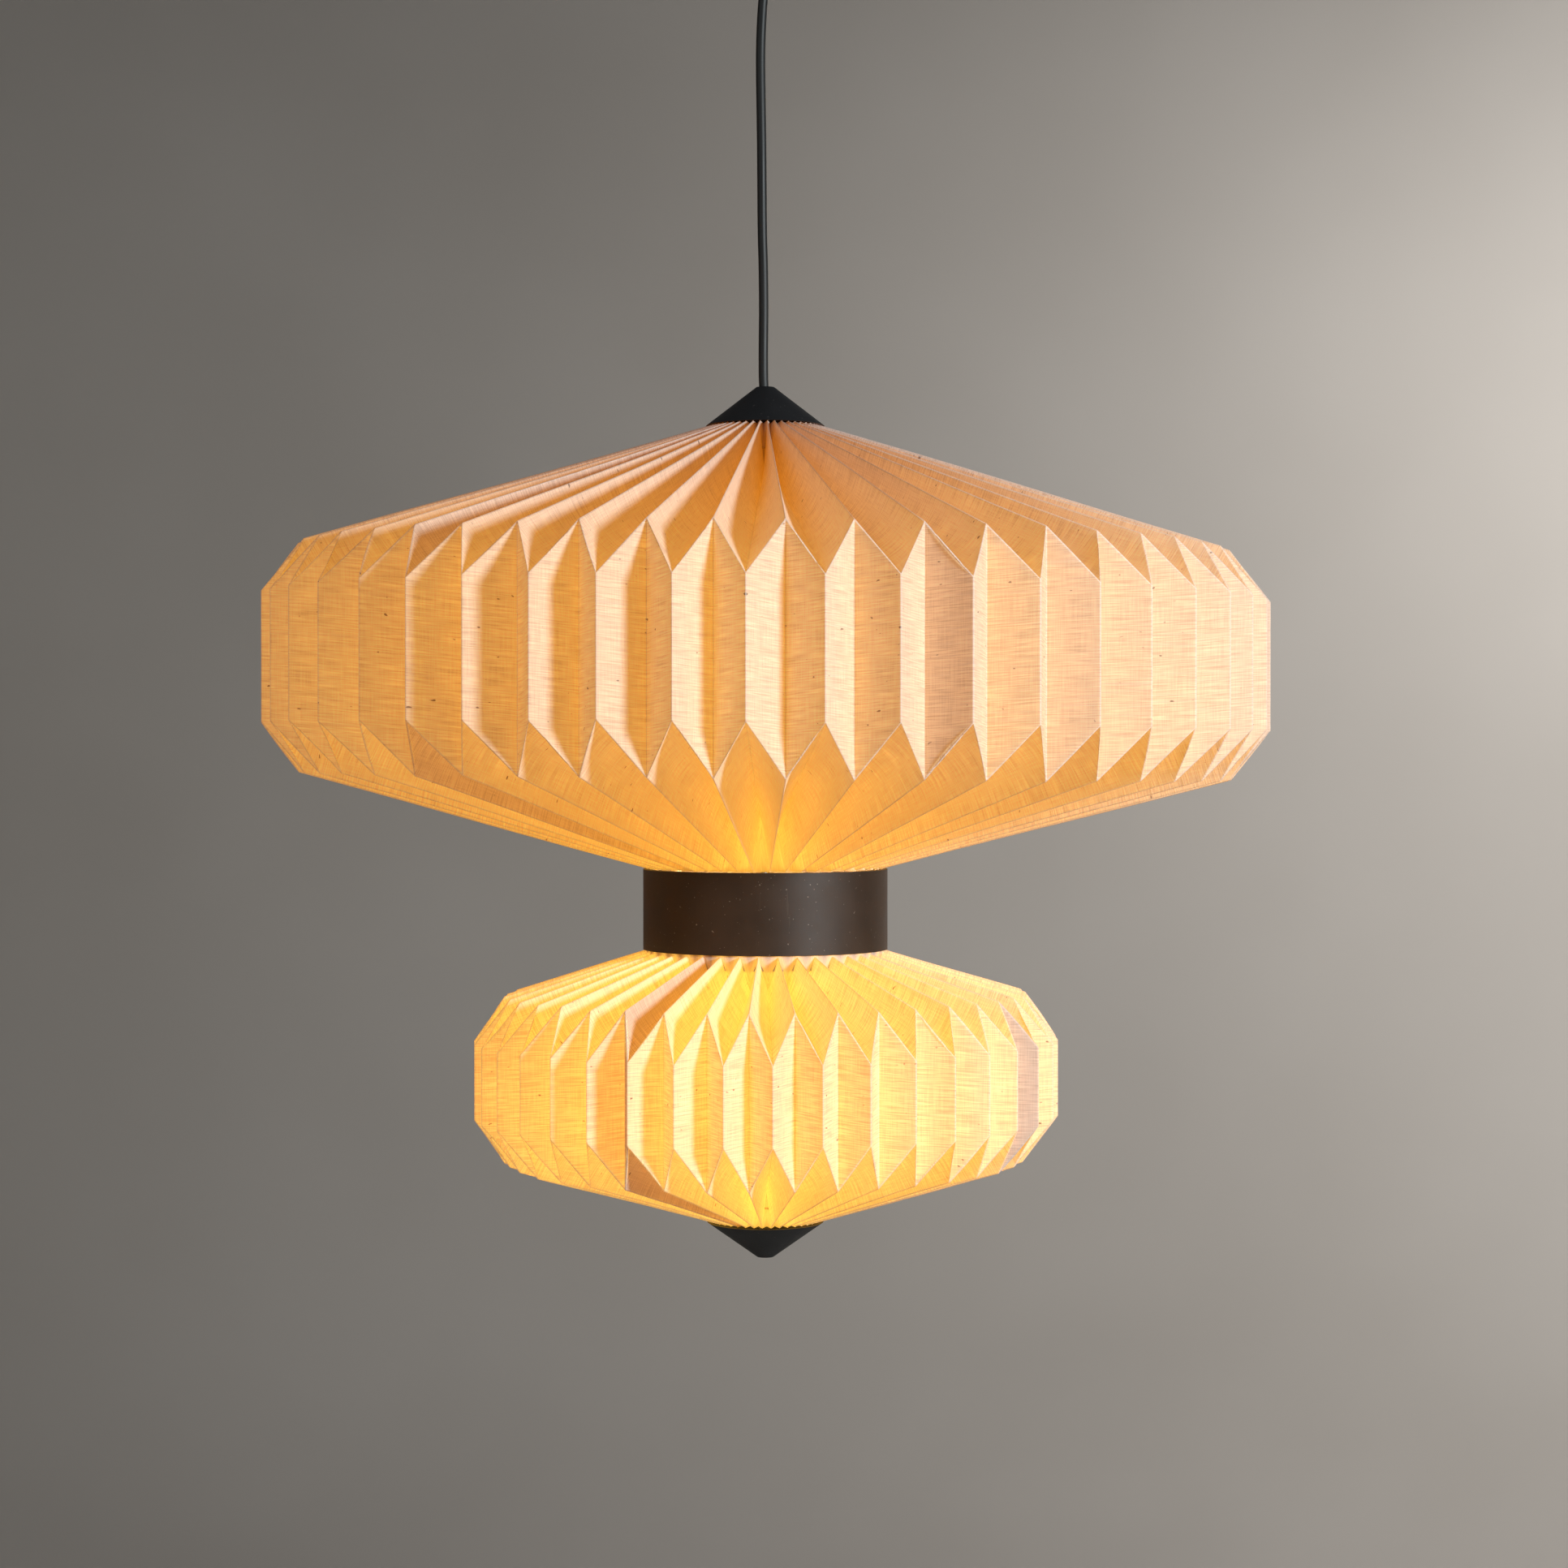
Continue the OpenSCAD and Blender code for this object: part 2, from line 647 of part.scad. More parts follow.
ceiling_bracket();
ceiling_cup();
gland_body();
gland_cap();
gland_nut();
terminal_block();
terminal_screws();
live_lead();
neutral_lead();
cord_tail();
cup_screw_left();
cup_screw_right();
gland_seal();
cord();
cord_grip();
cord_grip_screw();
stem_tube();
stem_nut_upper();
stem_nut_lower();
neck_washer();
stem_cord();
upper_strip_1();
upper_strip_2();
upper_strip_3();
upper_strip_4();
upper_strip_5();
upper_strip_6();
upper_thread();
band();
band_spider();
spider_rivets();
band_pads();
holder_cap();
holder_shell();
holder_insert();
screw_shell();
centre_contact();
side_contact();
shade_ring_upper();
shade_ring_lower();
top_cap();
bulb_base();
bulb_contact();
bulb_insulator();
bulb_collar();
bulb_dome();
lower_strip_1();
lower_strip_2();
lower_strip_3();
lower_strip_4();
lower_hoop();
lower_thread();
bottom_washer();
bottom_stud();
bottom_nut();
bottom_cone();
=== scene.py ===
import json
import math

import bpy
import numpy as np
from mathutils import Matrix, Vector


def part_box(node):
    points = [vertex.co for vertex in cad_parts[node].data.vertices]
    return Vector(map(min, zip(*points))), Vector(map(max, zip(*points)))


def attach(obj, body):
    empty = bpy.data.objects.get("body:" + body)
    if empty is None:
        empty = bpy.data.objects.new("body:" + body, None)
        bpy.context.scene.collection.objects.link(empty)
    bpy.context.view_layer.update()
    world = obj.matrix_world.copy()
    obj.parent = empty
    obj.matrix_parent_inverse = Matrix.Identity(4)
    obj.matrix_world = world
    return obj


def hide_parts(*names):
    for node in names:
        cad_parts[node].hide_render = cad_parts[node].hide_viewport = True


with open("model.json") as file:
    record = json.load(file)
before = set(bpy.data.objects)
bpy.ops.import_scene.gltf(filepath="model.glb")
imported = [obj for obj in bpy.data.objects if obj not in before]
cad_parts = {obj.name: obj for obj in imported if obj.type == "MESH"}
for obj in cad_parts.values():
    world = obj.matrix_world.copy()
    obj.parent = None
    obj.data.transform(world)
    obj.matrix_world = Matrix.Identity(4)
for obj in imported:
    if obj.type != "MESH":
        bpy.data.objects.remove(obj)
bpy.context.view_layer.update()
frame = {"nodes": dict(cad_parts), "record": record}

# Pleated pendant lamp. The CAD frame gives every rigid part; this script gives the camera, the cord,
# the folded linen strips, the bulb's dome and all materials. Lengths in the tables are millimetres.
MM = 0.001
SEED = 11


# ------------------------------------------------------------------ camera and cord

CAMERA_DISTANCE = 1.9        # from the lamp's axis
CAMERA_X = 0.0112
CAMERA_Z = -0.5195
CAMERA_LENS = 72.6           # on a 36 mm sensor
CAMERA_DOWN = 0.53           # degrees below level

CORD_R = 2.85 * MM
CORD_POINTS = [
    (0, 0, -34.6), (0, 0, -46), (-0.5, 0, -58), (-1.6, 0, -70), (-2.4, 0, -84), (-2.8, 0, -98),
    (-2.8, 0, -112), (-2.6, 0, -126), (-2.4, 0, -140), (-2.2, 0, -154), (-2.1, 0, -168),
    (-2, 0, -182), (-1.9, 0, -196), (-1.7, 0, -210), (-1.3, 0, -224), (-1.1, 0, -238),
    (-1, 0, -252), (-1.1, 0, -266), (-1.2, 0, -280), (-1.1, 0, -294), (-0.5, 0, -305), (0, 0, -316),
]
CORD_SIDES = 24
CORD_STEPS = 5               # from each point of the route to the next


def link(obj):
    bpy.context.scene.collection.objects.link(obj)
    return obj


def new_mesh(name, verts, faces, flat_caps=False):
    """A smooth-shaded mesh, whose end caps may stay flat."""
    mesh = bpy.data.meshes.new(name)
    mesh.from_pydata(verts, [], faces)
    mesh.polygons.foreach_set("use_smooth", [not flat_caps or len(face) == 4 for face in faces])
    return mesh


def ring(radius, z, sides):
    """Points round the lamp's axis."""
    turns = [2 * math.pi * k / sides for k in range(sides)]
    return [(radius * math.cos(turn), radius * math.sin(turn), z) for turn in turns]


def ring_faces(rings, sides, first=0, inward=False):
    """Quads that join each ring of points to the next; the first ring starts at point first."""
    faces = []
    for i in range(rings - 1):
        for k in range(sides):
            a, b = first + i * sides + k, first + i * sides + (k + 1) % sides
            faces.append((a, a + sides, b + sides, b) if inward else (a, b, b + sides, a + sides))
    return faces


def make_camera():
    data = bpy.data.cameras.new("camera")
    data.lens = CAMERA_LENS
    data.sensor_width = 36
    data.clip_end = 100
    camera = link(bpy.data.objects.new("camera", data))
    camera.location = (CAMERA_X, -CAMERA_DISTANCE, CAMERA_Z)
    camera.rotation_euler = (math.radians(90 - CAMERA_DOWN), 0, 0)
    bpy.context.scene.camera = camera


def smooth_route(points, steps):
    """A smooth curve through the given points, with some steps from each to the next."""
    ends = np.concatenate([[2 * points[0] - points[1]], points, [2 * points[-1] - points[-2]]])
    route = []
    for p, q, r, s in zip(ends, ends[1:], ends[2:], ends[3:]):
        for t in np.arange(steps) / steps:
            route.append(0.5 * (2 * q + (r - p) * t + (2 * p - 5 * q + 4 * r - s) * t ** 2
                                + (3 * q - p - 3 * r + s) * t ** 3))
    return np.array([*route, points[-1]])


def make_cord():
    """The hanging cord, one smooth tube from the gland down into the cap's cord grip."""
    route = smooth_route(np.array(CORD_POINTS) * MM, CORD_STEPS)
    ahead = np.gradient(route, axis=0)
    ahead /= np.linalg.norm(ahead, axis=1, keepdims=True)
    side = np.array([0, 1, 0])       # the route lies in one upright plane
    across = np.cross(ahead, side)
    turns = np.linspace(0, 2 * math.pi, CORD_SIDES, endpoint=False)
    rings = [route + CORD_R * (math.cos(turn) * across + math.sin(turn) * side) for turn in turns]
    verts = np.stack(rings, 1).reshape(-1, 3)
    caps = [tuple(reversed(range(CORD_SIDES))), tuple(range(len(verts) - CORD_SIDES, len(verts)))]
    faces = caps + ring_faces(len(route), CORD_SIDES)
    mesh = new_mesh("cord_flex", verts.tolist(), faces, flat_caps=True)
    cord = link(bpy.data.objects.new("cord_flex", mesh))
    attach(cord, "hanging_cord")
    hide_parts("cord")
    return cord


# ------------------------------------------------------------------ pleated strips

# A fold line is six (radius, height) points: short end, neck, upper reversed fold, lower reversed
# fold, waist, short end. The crest lines stand out in the middle and are the valleys of the cones.
UPPER = dict(
    name="upper", body="pendant", slot="linen_upper", rests_on=["band", "neck_washer"], strips=6,
    pleats=8, start=-1.29, seam=2.5,
    crest=((30, -324), (24, -350), (300, -427.4), (300, -502.6), (64, -559.5), (67.2, -587.4)),
    trough=((33, -322.2), (33, -322.6), (277, -398), (277, -532), (71.5, -587.2), (71.5, -587.6)),
    panel=29.75, height=603, rows=(26, 14, 22), sag=3.0, roll=0.5, tilt_from=60, tilt_full=240,
    # how brightly the linen glows from neck to waist, and what a doubled layer lets through
    glow=((0, 0.4), (0.08, 0.55), (0.2, 0.66), (0.35, 0.82), (0.46, 0.98), (0.62, 1.02), (0.76, 1.04),
          (0.88, 1.1), (0.95, 1.2), (1, 1.4)), doubled=0.68,
)
LOWER = dict(
    name="lower", body="lower_shade", slot="linen_lower", rests_on=["lower_hoop", "bottom_washer"], strips=4,
    pleats=10, start=1.75, seam=6.5,
    crest=((71.4, -634.5), (65, -658), (175, -689.8), (175, -734.8), (26, -777.5), (30.5, -798.6)),
    trough=((71.6, -634.2), (71.5, -637), (155.7, -662.7), (155.7, -761.9), (32.5, -799.2), (32.5, -799.6)),
    panel=23.3, height=315, rows=(16, 12, 18), sag=2.0, roll=-0.35, tilt_from=75, tilt_full=150,
    glow=((0, 1.6), (0.12, 1.5), (0.35, 1.44), (0.65, 1.44), (0.85, 1.48), (1, 1.7)), doubled=0.28,
)
SHEET_T = 0.45 * MM
FOLD_W = 0.8                 # half-width of the crushed stripe along a fold
PANEL_COLUMNS = (0.14, 0.28, 0.42, 0.58, 0.72, 0.86)
END_ROWS = 4                 # rows of the short ends at the cap, the band and the finial
ANGLE_JITTER = 0.10          # degrees
RADIUS_JITTER = 0.7
HEIGHT_JITTER = 0.6
BULGE = 0.35                 # spread of how far the panels bow out or in
TAB_GAP = 0.8                # the hidden layer of a seam lies this far inside
TAB_END = 0.95               # share of a panel that the hidden layer covers
TAB_DIVE = 0.1               # share of a panel over which it slips inside
FAR = 9.0                    # distance from a fold at which nothing of it shows
END_TURN = 4                 # how sharply a hidden end turns into its tube
SAG_VARIES = 0.25            # how much a panel's own bulge changes its sag
UV_STEP = 0.7                # metres between the strips' places in the weave, so none repeats


def section_steps(count, fold):
    """Stations from 0 to 1 along one stretch, with a narrow step of size fold at each end."""
    inner = np.linspace(0, 1, count)[1:-1]
    return np.concatenate([[0, fold], inner, [1 - fold, 1]])


def fold_line(points, jitter, steps):
    """Radius, height and running length at every station of one fold line."""
    points = np.array(points, float)
    points[2:4, 0] += jitter[0]
    points[2:4, 1] += jitter[1:]
    spans = np.linalg.norm(np.diff(points, axis=0), axis=1)
    starts = np.concatenate([[0], np.cumsum(spans)]) - spans[0]
    places, lengths = [points[:1]], [starts[:1]]
    for part, stations in enumerate(steps):
        down = stations[1:]
        # a short end turns sharply into the tube that the pleats are gathered on
        out = down
        if part == 0:
            out = down ** END_TURN
        elif part == len(steps) - 1:
            out = 1 - (1 - down) ** END_TURN
        places.append(points[part] + (points[part + 1] - points[part]) * np.stack([out, down], 1))
        lengths.append(starts[part] + spans[part] * down)
    places = np.concatenate(places)
    return places[:, 0], places[:, 1], np.concatenate(lengths)


def shade_lines(spec, rng):
    """Every fold line of a shade as points in space, and what each row of points is."""
    count = 2 * spec["strips"] * spec["pleats"]
    spans = [math.dist(spec["crest"][k], spec["crest"][k + 1]) for k in range(1, 4)]
    steps = [section_steps(n, FOLD_W / span) for n, span in zip(spec["rows"], spans)]
    end = np.linspace(0, 1, END_ROWS)
    lines, lengths = [], []
    for i in range(count):
        jitter = rng.normal(0, 0.5, 3) * (RADIUS_JITTER, HEIGHT_JITTER, HEIGHT_JITTER)
        r, z, v = fold_line(spec["trough" if i % 2 else "crest"], jitter, [end, *steps, end])
        angle = math.radians(spec["start"] + i * 360 / count + rng.normal(0, ANGLE_JITTER))
        wide = np.clip((r - spec["tilt_from"]) / (spec["tilt_full"] - spec["tilt_from"]), 0, 1)
        x, y = r * math.sin(angle), -r * math.cos(angle)
        z = z - x * math.tan(math.radians(spec["roll"])) * wide * wide * (3 - 2 * wide)
        lines.append(np.stack([x, y, z], 1))
        lengths.append(v)
    # how far each row is from a reversed fold; the neck and the waist have none
    far = np.full(END_ROWS, FAR)
    folds = [(np.minimum(s, 1 - s) * span)[1:] for s, span in zip(steps, spans)]
    near = np.concatenate([far, *folds, far[1:]])
    near[END_ROWS - 1] = near[-END_ROWS] = FAR
    # how far a cone's panels sag between ridge and valley, from its reversed fold to its neck
    neck, waist = np.sin(np.pi * np.sqrt(1 - steps[0])), np.sin(np.pi * np.sqrt(steps[2]))
    still = np.zeros(END_ROWS)
    middle = np.zeros(len(steps[1]) - 1)
    sag = np.concatenate([still, neck[1:], middle, waist[1:], still[1:]]) * spec["sag"]
    cone = np.concatenate([np.ones(END_ROWS + len(neck) - 1), middle, np.ones(len(waist) + END_ROWS - 2)])
    return lines, lengths, dict(near=near, sag=sag, cone=cone)


def strip_points(spec, number, lines, lengths, row, bulges):
    """One pleated strip with its seam tab, as rows of points across the strip."""
    total = len(lines)
    first = int(round(2 * (spec["seam"] + number * spec["pleats"])))
    panels = 2 * spec["pleats"]
    edge = FOLD_W / spec["panel"]
    columns = [0, edge, *PANEL_COLUMNS, 1 - edge, 1]
    rows = len(row["near"])
    along = np.linspace(0, 1, rows)
    grid, us, vs, near, doubled = [], [], [], [], []
    for panel in range(panels + 1):
        i = first + panel
        a, b = lines[i % total], lines[(i + 1) % total]
        va, vb = lengths[i % total], lengths[(i + 1) % total]
        across = b - a
        down = np.gradient(a + b, axis=0)
        normal = np.cross(across, down)
        normal /= np.linalg.norm(normal, axis=1, keepdims=True)
        out = np.stack([a[:, 0] + b[:, 0], a[:, 1] + b[:, 1], np.zeros(rows)], 1)
        normal *= np.sign((normal * out).sum(1))[:, None]
        is_tab = panel == panels
        bulge = bulges[i % total]
        for c in columns if panel == 0 else columns[1:]:
            if is_tab:
                c = min(c, TAB_END)
            swell = bulge * math.sin(math.pi * c) * np.sin(math.pi * along)
            swell = swell - row["sag"] * (1 + SAG_VARIES * bulge) * math.sin(math.pi * c)
            point = a + across * c + normal * swell[:, None]
            if is_tab:
                point = point - normal * TAB_GAP * min(1, c / TAB_DIVE)
            grid.append(point)
            us.append(np.full(rows, (panel + c) * spec["panel"]))
            vs.append(va * (1 - c) + vb * c)
            # the valleys of the cones are rounded, with no crease to show
            valley = c < 0.5 if i % 2 == 0 else c > 0.5
            side = FAR if is_tab and c > 0.5 else min(c, 1 - c) * spec["panel"]
            side = side + (FAR * row["cone"] if valley else 0)
            near.append(np.minimum(row["near"], side))
            doubled.append(np.full(rows, 1.0 if panel == 0 and c < 1 - edge / 2 else 0.0))
    return [np.array(values) for values in (grid, us, vs, near, doubled)]


def build_strip(spec, number, shade, bulges):
    grid, us, vs, near, doubled = strip_points(spec, number, *shade, bulges)
    columns, rows = grid.shape[:2]
    index = np.arange(columns * rows).reshape(columns, rows)
    quads = np.stack([index[:-1, :-1], index[1:, :-1], index[1:, 1:], index[:-1, 1:]], -1).reshape(-1, 4)
    name = f"{spec['name']}_linen_{number + 1}"
    mesh = new_mesh(name, (grid.reshape(-1, 3) * MM).tolist(), quads.tolist())
    cloth = mesh.uv_layers.new(name="cloth")
    uv = np.stack([us.ravel() * MM + number * UV_STEP, vs.ravel() * MM], 1)
    loops = np.zeros(len(mesh.loops), int)
    mesh.loops.foreach_get("vertex_index", loops)
    cloth.data.foreach_set("uv", uv[loops].ravel())
    for key, values in (("fold", near), ("doubled", doubled)):
        mesh.attributes.new(key, "FLOAT", "POINT").data.foreach_set("value", values.ravel())
    mesh.validate()
    obj = link(bpy.data.objects.new(name, mesh))
    thick = obj.modifiers.new("sheet", "SOLIDIFY")
    thick.thickness = SHEET_T
    thick.offset = 0
    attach(obj, spec["body"])
    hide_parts(f"{spec['name']}_strip_{number + 1}")
    return obj


def make_shade(spec, material, rng):
    shade = shade_lines(spec, rng)
    bulges = rng.normal(0, BULGE, len(shade[0]))
    for number in range(spec["strips"]):
        strip = build_strip(spec, number, shade, bulges)
        strip.data.materials.append(material)


# ------------------------------------------------------------------ materials

class Nodes:
    """A short way to write a material's nodes."""

    def __init__(self, name):
        self.material = bpy.data.materials.new(name)
        self.material.use_nodes = True
        self.tree = self.material.node_tree
        self.tree.nodes.clear()
        self.output = self.tree.nodes.new("ShaderNodeOutputMaterial")

    def node(self, kind, inputs=(), **settings):
        made = self.tree.nodes.new("ShaderNode" + kind)
        for key, value in settings.items():
            setattr(made, key, value)
        for key, value in dict(inputs).items():
            self.put(made.inputs[key], value)
        return made

    def put(self, socket, value):
        if isinstance(value, bpy.types.NodeSocket):
            self.tree.links.new(value, socket)
        else:
            socket.default_value = value

    def math(self, operation, a, b=0.0, clamp=False):
        made = self.node("Math", operation=operation, use_clamp=clamp)
        self.put(made.inputs[0], a)
        self.put(made.inputs[1], b)
        return made.outputs[0]

    def spread(self, value, low, high, to_low=0.0, to_high=1.0):
        made = self.node("MapRange", {"Value": value, "From Min": low, "From Max": high,
                                      "To Min": to_low, "To Max": to_high})
        return made.outputs[0]

    def mix(self, factor, a, b, blend="MIX"):
        made = self.node("Mix", data_type="RGBA", blend_type=blend)
        self.put(made.inputs[0], factor)
        self.put(made.inputs[6], a)
        self.put(made.inputs[7], b)
        return made.outputs[2]

    def scaled(self, vector, scale):
        return self.node("Mapping", {"Vector": vector, "Scale": scale}).outputs[0]

    def noise(self, vector, scale=1.0, detail=3.0, rough=0.55):
        made = self.node("TexNoise", {"Vector": vector, "Scale": scale, "Detail": detail, "Roughness": rough})
        return made.outputs[0]

    def ramp(self, value, stops):
        """A curve through (place, level) stops; levels run to 2."""
        made = self.node("ValToRGB", {"Fac": value})
        points = made.color_ramp.elements
        while len(points) < len(stops):
            points.new(0.5)
        for point, (place, _) in zip(points, stops):
            point.position = place
        for point, (_, level) in zip(points, stops):
            point.color = (level / 2, level / 2, level / 2, 1)
        return self.math("MULTIPLY", made.outputs[0], 2.0)

    def bump(self, height, strength, distance):
        made = self.node("Bump", {"Height": height, "Strength": strength, "Distance": distance})
        return made.outputs[0]

    def finish(self, shader):
        self.tree.links.new(shader, self.output.inputs[0])
        return self.material


# Sizes of the linen's marks, as stretches of noise per metre across and along a strip
WEFT = (55, 1500, 1)
WARP = (1500, 55, 1)
SLUBS = (18, 620, 1)
CLOUDS = (9, 9, 1)
FLECKS = (170, 330, 1)
WARP_SHARE = 0.4
THROUGH = 0.26               # share of light that crosses the linen
GLOW_STRENGTH = 0.8
TUCKED = (-0.022, 0.004)     # the short end above the neck, in metres along the strip
TUCKED_GLOW = 0.3            # what is left of the painted glow at its edge, a painted shade on the tucked pleat ends


def linen(name, spec):
    """Linen laminated on card: warp and weft, slubs, flecks and crushed folds.

    The bulb's own light leaves the large shade too dark, so the linen adds a glow of its own, at a
    level that the shade's table sets from neck to waist.
    """
    n = Nodes(name)
    uv = n.node("UVMap", uv_map="cloth").outputs[0]
    across, along, _ = n.node("SeparateXYZ", {"Vector": uv}).outputs
    weft = n.noise(n.scaled(uv, WEFT), 1, 2)
    warp = n.noise(n.scaled(uv, WARP), 1, 2)
    slub = n.noise(n.scaled(uv, SLUBS), 1, 2)
    cloud = n.noise(n.scaled(uv, CLOUDS), 1, 3)
    speck = n.noise(n.scaled(uv, FLECKS), 1, 1)
    weave = n.math("ADD", weft, n.math("MULTIPLY", warp, WARP_SHARE))
    thread = n.spread(weave, 0.5, 0.9)
    dark = n.spread(speck, 0.735, 0.79)
    thick = n.spread(slub, 0.56, 0.72)
    fold_at = n.node("Attribute", attribute_name="fold").outputs["Fac"]
    doubled = n.node("Attribute", attribute_name="doubled").outputs["Fac"]
    worn = n.math("MULTIPLY", n.spread(fold_at, 0.2, 0.6, 1, 0), n.spread(weft, 0.35, 0.6, 0.4, 1))
    tone = n.mix(thread, (0.56, 0.50, 0.44, 1), (0.80, 0.76, 0.70, 1))
    tone = n.mix(n.math("MULTIPLY", thick, 0.25), tone, (0.88, 0.85, 0.79, 1))
    tone = n.mix(n.spread(cloud, 0.35, 0.7, 0, 0.16), tone, (0.62, 0.55, 0.48, 1))
    tone = n.mix(n.math("MULTIPLY", dark, 0.75), tone, (0.17, 0.10, 0.05, 1))
    tone = n.mix(worn, tone, (0.90, 0.88, 0.84, 1))
    through = n.mix(thread, (0.70, 0.47, 0.20, 1), (0.98, 0.76, 0.42, 1))
    through = n.mix(n.math("MULTIPLY", dark, 0.8), through, (0.10, 0.04, 0.01, 1))
    # the glow's level along the strip, then all that dims it, then its colour, redder where weaker
    level = n.ramp(n.math("DIVIDE", along, spec["height"] * MM), spec["glow"])
    panel = n.math("FLOOR", n.math("DIVIDE", across, spec["panel"] * MM))
    own = n.node("TexWhiteNoise", {"W": panel}, noise_dimensions="1D").outputs[0]
    level = n.math("MULTIPLY", level, n.spread(own, 0, 1, 0.95, 1.05))
    level = n.math("MULTIPLY", level, n.spread(cloud, 0.3, 0.7, 1.05, 0.94))
    level = n.math("MULTIPLY", level, n.spread(thread, 0, 1, 0.84, 1.12))
    level = n.math("MULTIPLY", level, n.spread(thick, 0, 1, 1, 0.9))
    level = n.math("MULTIPLY", level, n.spread(dark, 0, 1, 1, 0.45))
    level = n.math("MULTIPLY", level, n.spread(fold_at, 0.15, 0.5, 0.7, 1))
    level = n.math("MULTIPLY", level, n.spread(doubled, 0, 1, 1, spec["doubled"]))
    level = n.math("MULTIPLY", level, n.spread(along, *TUCKED, TUCKED_GLOW, 1))
    # painted light: this glow stands in for the bulb's light shining through the linen
    glow = n.node("CombineColor", {
        "Red": n.math("MULTIPLY", level, 0.6),
        "Green": n.math("MULTIPLY", n.math("POWER", level, 1.45), 0.285),
        "Blue": n.math("MULTIPLY", n.math("POWER", level, 2.2), 0.028)}).outputs[0]
    height = n.math("ADD", weave, n.math("MULTIPLY", thick, 0.5))
    bump = n.bump(height, 0.45, 0.00035)
    face = n.node("BsdfPrincipled", {"Base Color": tone, "Roughness": 0.85, "Normal": bump,
                                     "Specular IOR Level": 0.25, "Sheen Weight": 0.12,
                                     "Emission Color": glow, "Emission Strength": GLOW_STRENGTH})
    back = n.node("BsdfTranslucent", {"Color": through, "Normal": bump})
    mixed = n.node("MixShader", {0: THROUGH, 1: face.outputs[0], 2: back.outputs[0]})
    return n.finish(mixed.outputs[0])


def powder_coat(name, colour, rough, dust):
    """Matt powder coat: fine orange peel, uneven sheen, settled dust and faint scratches."""
    n = Nodes(name)
    at = n.node("TexCoord").outputs["Object"]
    grain = n.noise(at, 2600, 2)
    patch = n.noise(at, 38, 4)
    scratch = n.noise(n.scaled(at, (420, 420, 22)), 1, 3)
    speck = n.spread(n.noise(at, 620, 1), 0.735, 0.78)
    tone = n.mix(n.spread(patch, 0.35, 0.7), colour, [c * 1.35 for c in colour[:3]] + [1])
    tone = n.mix(n.math("MULTIPLY", speck, dust), tone, (0.32, 0.29, 0.26, 1))
    tone = n.mix(n.spread(scratch, 0.68, 0.8, 0, dust * 0.3), tone, (0.25, 0.22, 0.2, 1))
    face = n.node("BsdfPrincipled", {
        "Base Color": tone, "Roughness": n.spread(patch, 0.3, 0.7, rough - 0.05, rough + 0.07),
        "Normal": n.bump(grain, 0.16, 0.0002), "Specular IOR Level": 0.4})
    return n.finish(face.outputs[0])


def moulded(name, colour, rough, grain_scale=900):
    """Moulded plastic or rubber with a fine texture and faint flow marks."""
    n = Nodes(name)
    at = n.node("TexCoord").outputs["Object"]
    grain = n.noise(at, grain_scale, 2)
    flow = n.noise(n.scaled(at, (60, 60, 14)), 1, 3)
    tone = n.mix(n.spread(flow, 0.35, 0.7), colour, [min(1, c * 1.25 + 0.004) for c in colour[:3]] + [1])
    face = n.node("BsdfPrincipled", {
        "Base Color": tone, "Roughness": n.spread(flow, 0.3, 0.7, rough - 0.05, rough + 0.06),
        "Normal": n.bump(grain, 0.12, 0.00015)})
    return n.finish(face.outputs[0])


def metal(name, colour, rough, brush):
    """Plated metal with turning marks and stains."""
    n = Nodes(name)
    at = n.node("TexCoord").outputs["Object"]
    lines = n.noise(n.scaled(at, (30, 30, brush)), 1, 3)
    stain = n.noise(at, 90, 4)
    tone = n.mix(n.spread(stain, 0.4, 0.75, 0, 0.55), colour, [c * 0.55 for c in colour[:3]] + [1])
    face = n.node("BsdfPrincipled", {
        "Base Color": tone, "Metallic": 1.0,
        "Roughness": n.spread(lines, 0.3, 0.7, rough - 0.06, rough + 0.12),
        "Normal": n.bump(lines, 0.2, 0.0001)})
    return n.finish(face.outputs[0])


def glazed(name, colour):
    """Glazed porcelain with a faint mottle under the gloss."""
    n = Nodes(name)
    at = n.node("TexCoord").outputs["Object"]
    mottle = n.noise(at, 260, 4)
    tone = n.mix(n.spread(mottle, 0.4, 0.7), colour, [c * 0.9 for c in colour[:3]] + [1])
    face = n.node("BsdfPrincipled", {"Base Color": tone, "Roughness": 0.2, "Coat Weight": 0.5,
                                     "Normal": n.bump(mottle, 0.05, 0.0003)})
    return n.finish(face.outputs[0])


def twine(name):
    """Waxed linen thread."""
    n = Nodes(name)
    at = n.node("TexCoord").outputs["Object"]
    ply = n.noise(n.scaled(at, (700, 700, 2400)), 1, 2)
    tone = n.mix(n.spread(ply, 0.35, 0.65), (0.45, 0.36, 0.25, 1), (0.78, 0.69, 0.54, 1))
    face = n.node("BsdfPrincipled", {"Base Color": tone, "Roughness": 0.7,
                                     "Normal": n.bump(ply, 0.5, 0.0003)})
    return n.finish(face.outputs[0])


def lit_opal(name, strength):
    """The bulb's glowing diffuser, a little redder in uneven patches."""
    n = Nodes(name)
    at = n.node("TexCoord").outputs["Object"]
    haze = n.noise(at, 45, 2)
    tone = n.mix(n.spread(haze, 0.3, 0.7), (1.0, 0.57, 0.22, 1), (1.0, 0.62, 0.26, 1))
    face = n.node("BsdfPrincipled", {"Base Color": (0.9, 0.86, 0.78, 1), "Roughness": 0.35,
                                     "Emission Color": tone, "Emission Strength": strength})
    return n.finish(face.outputs[0])


BULB_STRENGTH = 150.0


